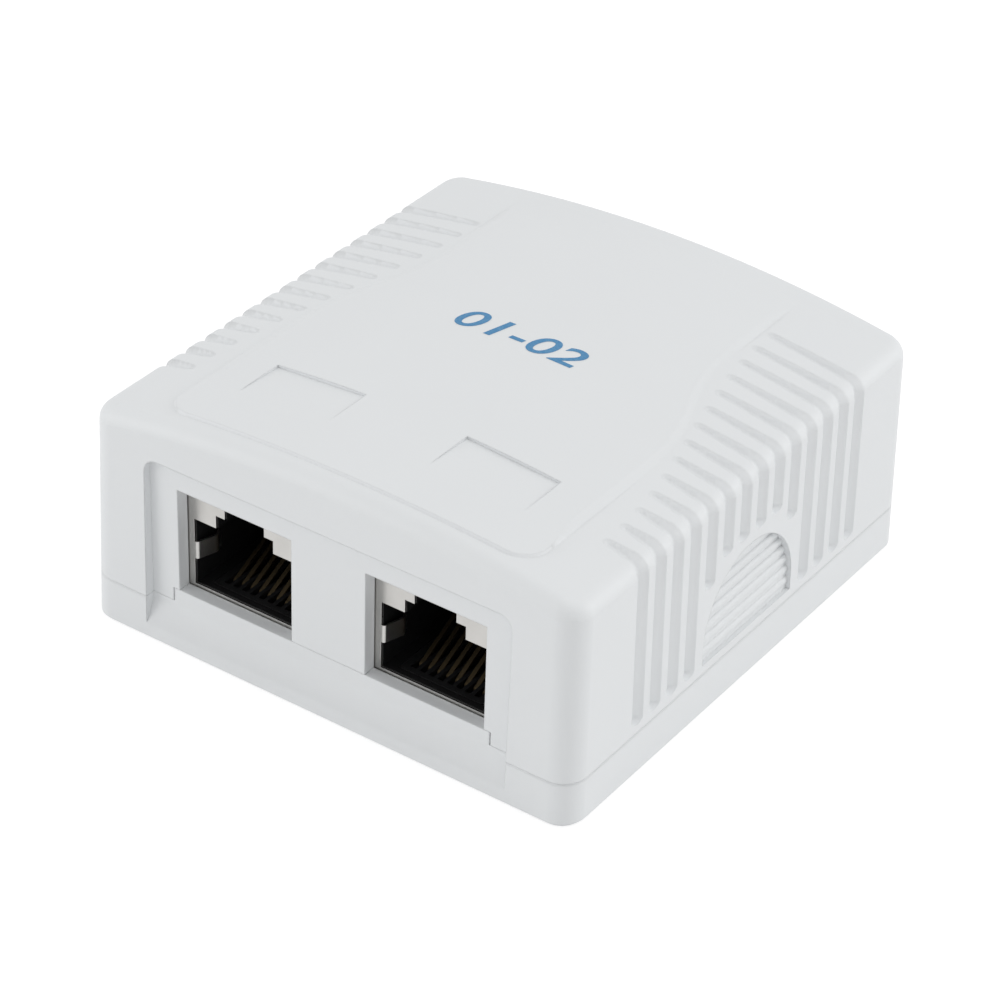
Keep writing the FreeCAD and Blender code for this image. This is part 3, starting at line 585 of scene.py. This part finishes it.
mark_shape.to_mesh(mark_mesh)
mark_shape.free()
mark = add_object("port_numbers", mark_mesh)
mark.data.materials.clear()
mark.data.materials.append(ink_blue())
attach(mark, "cover")


# ---- Jacks -------------------------------------------------------------------------------
# Two shielded modular jacks. Each is a black moulded housing and contact carrier inside a
# folded nickel-plated shield, with gilt spring contacts that rise towards the rear.

HANDS = ("left", "right")
WIRES = range(1, 9)


def plain_plastic(name, colour, other, roughness, grain, relief, edge):
    """A moulded plastic: slight variation in colour and gloss, and a fine grain."""
    finish = Finish(name, {"IOR": 1.5})
    place = finish.point()
    tinted = finish.tint(finish.noise(place, 4.0, 3.0), colour, other)
    finish.paint(tinted, roughness + 0.14 * finish.noise(place, 0.6))
    finish.surface(finish.noise(place, grain), relief, edge)
    return finish.material


def plated(name, colour, other, roughness, rolling, relief, edge=0.0):
    """Plated metal: duller patches, and rolling lines that are long where their scale is small."""
    finish = Finish(name, {"Metallic": 1.0})
    lines = finish.noise(finish.point(rolling), 0.5, 3.0)
    patches = finish.noise(finish.point(), 3.0, 3.0)
    finish.paint(finish.tint(patches, colour, other), roughness + 0.18 * patches)
    finish.surface(lines, relief, edge)
    return finish.material


def refinish(node, material):
    """Gives a node that keeps its own shape a better material."""
    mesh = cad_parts[node].data
    for place in range(len(mesh.materials)):
        mesh.materials[place] = material


BLACK = plain_plastic("jack_black", colour=(0.004, 0.004, 0.0045), other=(0.007, 0.007, 0.0075),
                      roughness=0.45, grain=0.2, relief=0.003, edge=0.05)
CARRIER = plain_plastic("carrier_plastic", colour=(0.005, 0.005, 0.0055),
                        other=(0.009, 0.009, 0.0095), roughness=0.48, grain=0.2, relief=0.003,
                        edge=0.03)
NICKEL = plated("shield_nickel", colour=(0.62, 0.61, 0.59), other=(0.52, 0.51, 0.49),
                roughness=0.22, rolling=(0.15, 0.15, 4.0), relief=0.002, edge=0.05)
# The gold contacts are painted far darker than gilt metal. This is painted shade that stands in for
# the shade deep inside the ports.
GILT_IN_PAINTED_SHADE = plated("contact_gold", colour=(0.17, 0.13, 0.075), other=(0.12, 0.09, 0.05),
              roughness=0.38, rolling=(6.0, 0.3, 0.3), relief=0.001)

for hand in HANDS:
    refinish(hand + "_jack_housing", BLACK)
    refinish(hand + "_contact_carrier", CARRIER)
    refinish(hand + "_jack_shield", NICKEL)
    for number in WIRES:
        refinish("%s_contact_%d" % (hand, number), GILT_IN_PAINTED_SHADE)


# ---- Circuit board -----------------------------------------------------------------------
# A glass-epoxy board under green solder mask, screwed to posts on the base. It carries the
# jacks and the terminal blocks.

def board_green():
    """Solder mask over copper: tracks show as slightly lighter lines on a staggered grid."""
    finish = Finish("board_green", {"IOR": 1.5, "Coat Weight": 0.3, "Coat Roughness": 0.12})
    place = finish.point()
    weave = finish.noise(place, 0.8, 2.0)
    black, white = (0, 0, 0, 1), (1, 1, 1, 1)
    tracks = finish.node("ShaderNodeTexBrick", {"offset": 0.5, "squash": 1.0},
                         {"Vector": place, "Scale": 1.0, "Mortar Size": 0.22, "Brick Width": 5.1,
                          "Row Height": 1.7, "Color1": black, "Color2": black,
                          "Mortar": white})["Color"]
    colour = finish.tint(tracks, plain=(0.010, 0.085, 0.035), other=(0.028, 0.16, 0.065))
    finish.paint(colour, 0.22 + 0.12 * weave)
    finish.surface(tracks, relief=0.02)
    return finish.material


refinish("circuit_board", board_green())


# ---- Terminal blocks ---------------------------------------------------------------------
# Two white moulded blocks stand on the board. Each holds eight forked blades of tinned
# bronze that cut into the wires.

BLOCK = plain_plastic("block_white", colour=(0.70, 0.70, 0.67), other=(0.74, 0.74, 0.71),
                      roughness=0.36, grain=0.3, relief=0.004, edge=0.06)
TIN = plated("blade_tin", colour=(0.70, 0.70, 0.68), other=(0.60, 0.60, 0.58),
             roughness=0.26, rolling=(0.3, 0.3, 4.0), relief=0.002)

for hand in HANDS:
    refinish(hand + "_terminal_block", BLOCK)
    for number in WIRES:
        refinish("%s_blade_%d" % (hand, number), TIN)


# ---- Screws, cable clamp and ground strip ------------------------------------------------
# Zinc-plated screws hold the board, and the bowed steel clamp over the cables. A folded,
# tinned strip joins the shields.

ZINC = plated("screw_steel", colour=(0.66, 0.67, 0.69), other=(0.58, 0.59, 0.60),
              roughness=0.26, rolling=(1, 1, 1), relief=0.002)
CLAMP = plated("clamp_steel", colour=(0.67, 0.68, 0.70), other=(0.60, 0.61, 0.62),
               roughness=0.28, rolling=(0.2, 6.0, 0.2), relief=0.003, edge=0.08)
STRIP = plated("strip_steel", colour=(0.70, 0.70, 0.69), other=(0.62, 0.62, 0.61),
               roughness=0.24, rolling=(6.0, 0.2, 0.2), relief=0.002)

refinish("board_screws", ZINC)
refinish("clamp_screws", ZINC)
refinish("cable_clamp", CLAMP)
refinish("ground_strip", STRIP)


# ---- Floor, light and camera -------------------------------------------------------------
# A plain white table in an even, white surround. Three large weak lamps lift the top, the
# front and the right side, and leave the nearest corner a little darker.

TABLE_HALF = 6.0
TABLE_GAP = 0.02 * MM
TABLE_GLOW = 0.72
TABLE_GREY = (0.42, 0.42, 0.42, 1)
SURROUND = 0.69


def table_white():
    """White paint that the camera and the metal see as an even, bright ground."""
    shade = {"Roughness": 0.9, "Specular IOR Level": 0.1, "Base Color": (0.86, 0.86, 0.86, 1)}
    finish = Finish("table_white", shade)
    rays = finish.node("ShaderNodeLightPath")
    glow = finish.node("ShaderNodeEmission", None, {"Color": (1, 1, 1, 1), "Strength": TABLE_GLOW})
    dim = finish.node("ShaderNodeBsdfDiffuse", None, {"Color": TABLE_GREY})
    shown = finish.node("ShaderNodeAddShader", None, {0: glow["Emission"], 1: dim["BSDF"]})
    seen = rays["Is Camera Ray"].join("MAXIMUM", rays["Is Glossy Ray"])
    lit = Wire(finish, finish.shader.outputs["BSDF"])
    either = finish.node("ShaderNodeMixShader", None, {0: seen, 1: lit, 2: shown["Shader"]})
    finish.feed(finish.tree.nodes["Material Output"].inputs["Surface"], either["Shader"])
    return finish.material


table_shape = bmesh.new()
bmesh.ops.create_grid(table_shape, x_segments=1, y_segments=1, size=TABLE_HALF)
table_mesh = bpy.data.meshes.new("table")
table_shape.to_mesh(table_mesh)
table_shape.free()
table = add_object("table", table_mesh)
table.location = (0, 0, cad_box[0][2] - TABLE_GAP)
table.data.materials.append(table_white())

world = bpy.data.worlds.new("surround")
bpy.context.scene.world = world
world.use_nodes = True
surround = world.node_tree.nodes["Background"]
surround.inputs["Color"].default_value = (1, 1, 1, 1)
surround.inputs["Strength"].default_value = SURROUND


def lamp(name, direction, distance, size, power):
    """A square soft lamp that looks at the object from a direction."""
    light = bpy.data.lights.new(name, "AREA")
    light.shape = "SQUARE"
    light.size = size
    light.energy = power
    holder = add_object(name, light)
    away = Vector(direction).normalized()
    holder.location = away * distance
    holder.rotation_euler = away.to_track_quat("Z", "Y").to_euler()


lamp("lamp_top", direction=(0.15, 0.25, 1.0), distance=0.9, size=0.6, power=1.2)
lamp("lamp_left_front", direction=(-0.85, -0.8, 0.35), distance=0.9, size=0.5, power=1.75)
lamp("lamp_right_rear", direction=(0.9, 0.75, 0.45), distance=0.9, size=0.5, power=1.85)

CAMERA_PLACE = Vector((156.51, -232.00, 198.08)) * MM
CAMERA_TURN = math.radians(34.11)
CAMERA_TILT = math.radians(34.08)
CAMERA_ROLL = math.radians(2.01)
SENSOR_WIDTH = 36.0
LENS_WIDTHS = 3.5
NEAREST_SEEN = 0.01

ahead = Vector((-math.sin(CAMERA_TURN) * math.cos(CAMERA_TILT),
                math.cos(CAMERA_TURN) * math.cos(CAMERA_TILT),
                -math.sin(CAMERA_TILT)))
level = Vector((math.cos(CAMERA_TURN), math.sin(CAMERA_TURN), 0))
upright = level.cross(ahead)
right = level * math.cos(CAMERA_ROLL) + upright * math.sin(CAMERA_ROLL)
up = upright * math.cos(CAMERA_ROLL) - level * math.sin(CAMERA_ROLL)
view = bpy.data.cameras.new("camera")
view.sensor_width = SENSOR_WIDTH
view.lens = SENSOR_WIDTH * LENS_WIDTHS
view.clip_start = NEAREST_SEEN
camera = add_object("camera", view)
camera.matrix_world = Matrix((right, up, -ahead)).transposed().to_4x4()
camera.location = CAMERA_PLACE
bpy.context.scene.camera = camera
bpy.context.scene.view_settings.view_transform = "Standard"
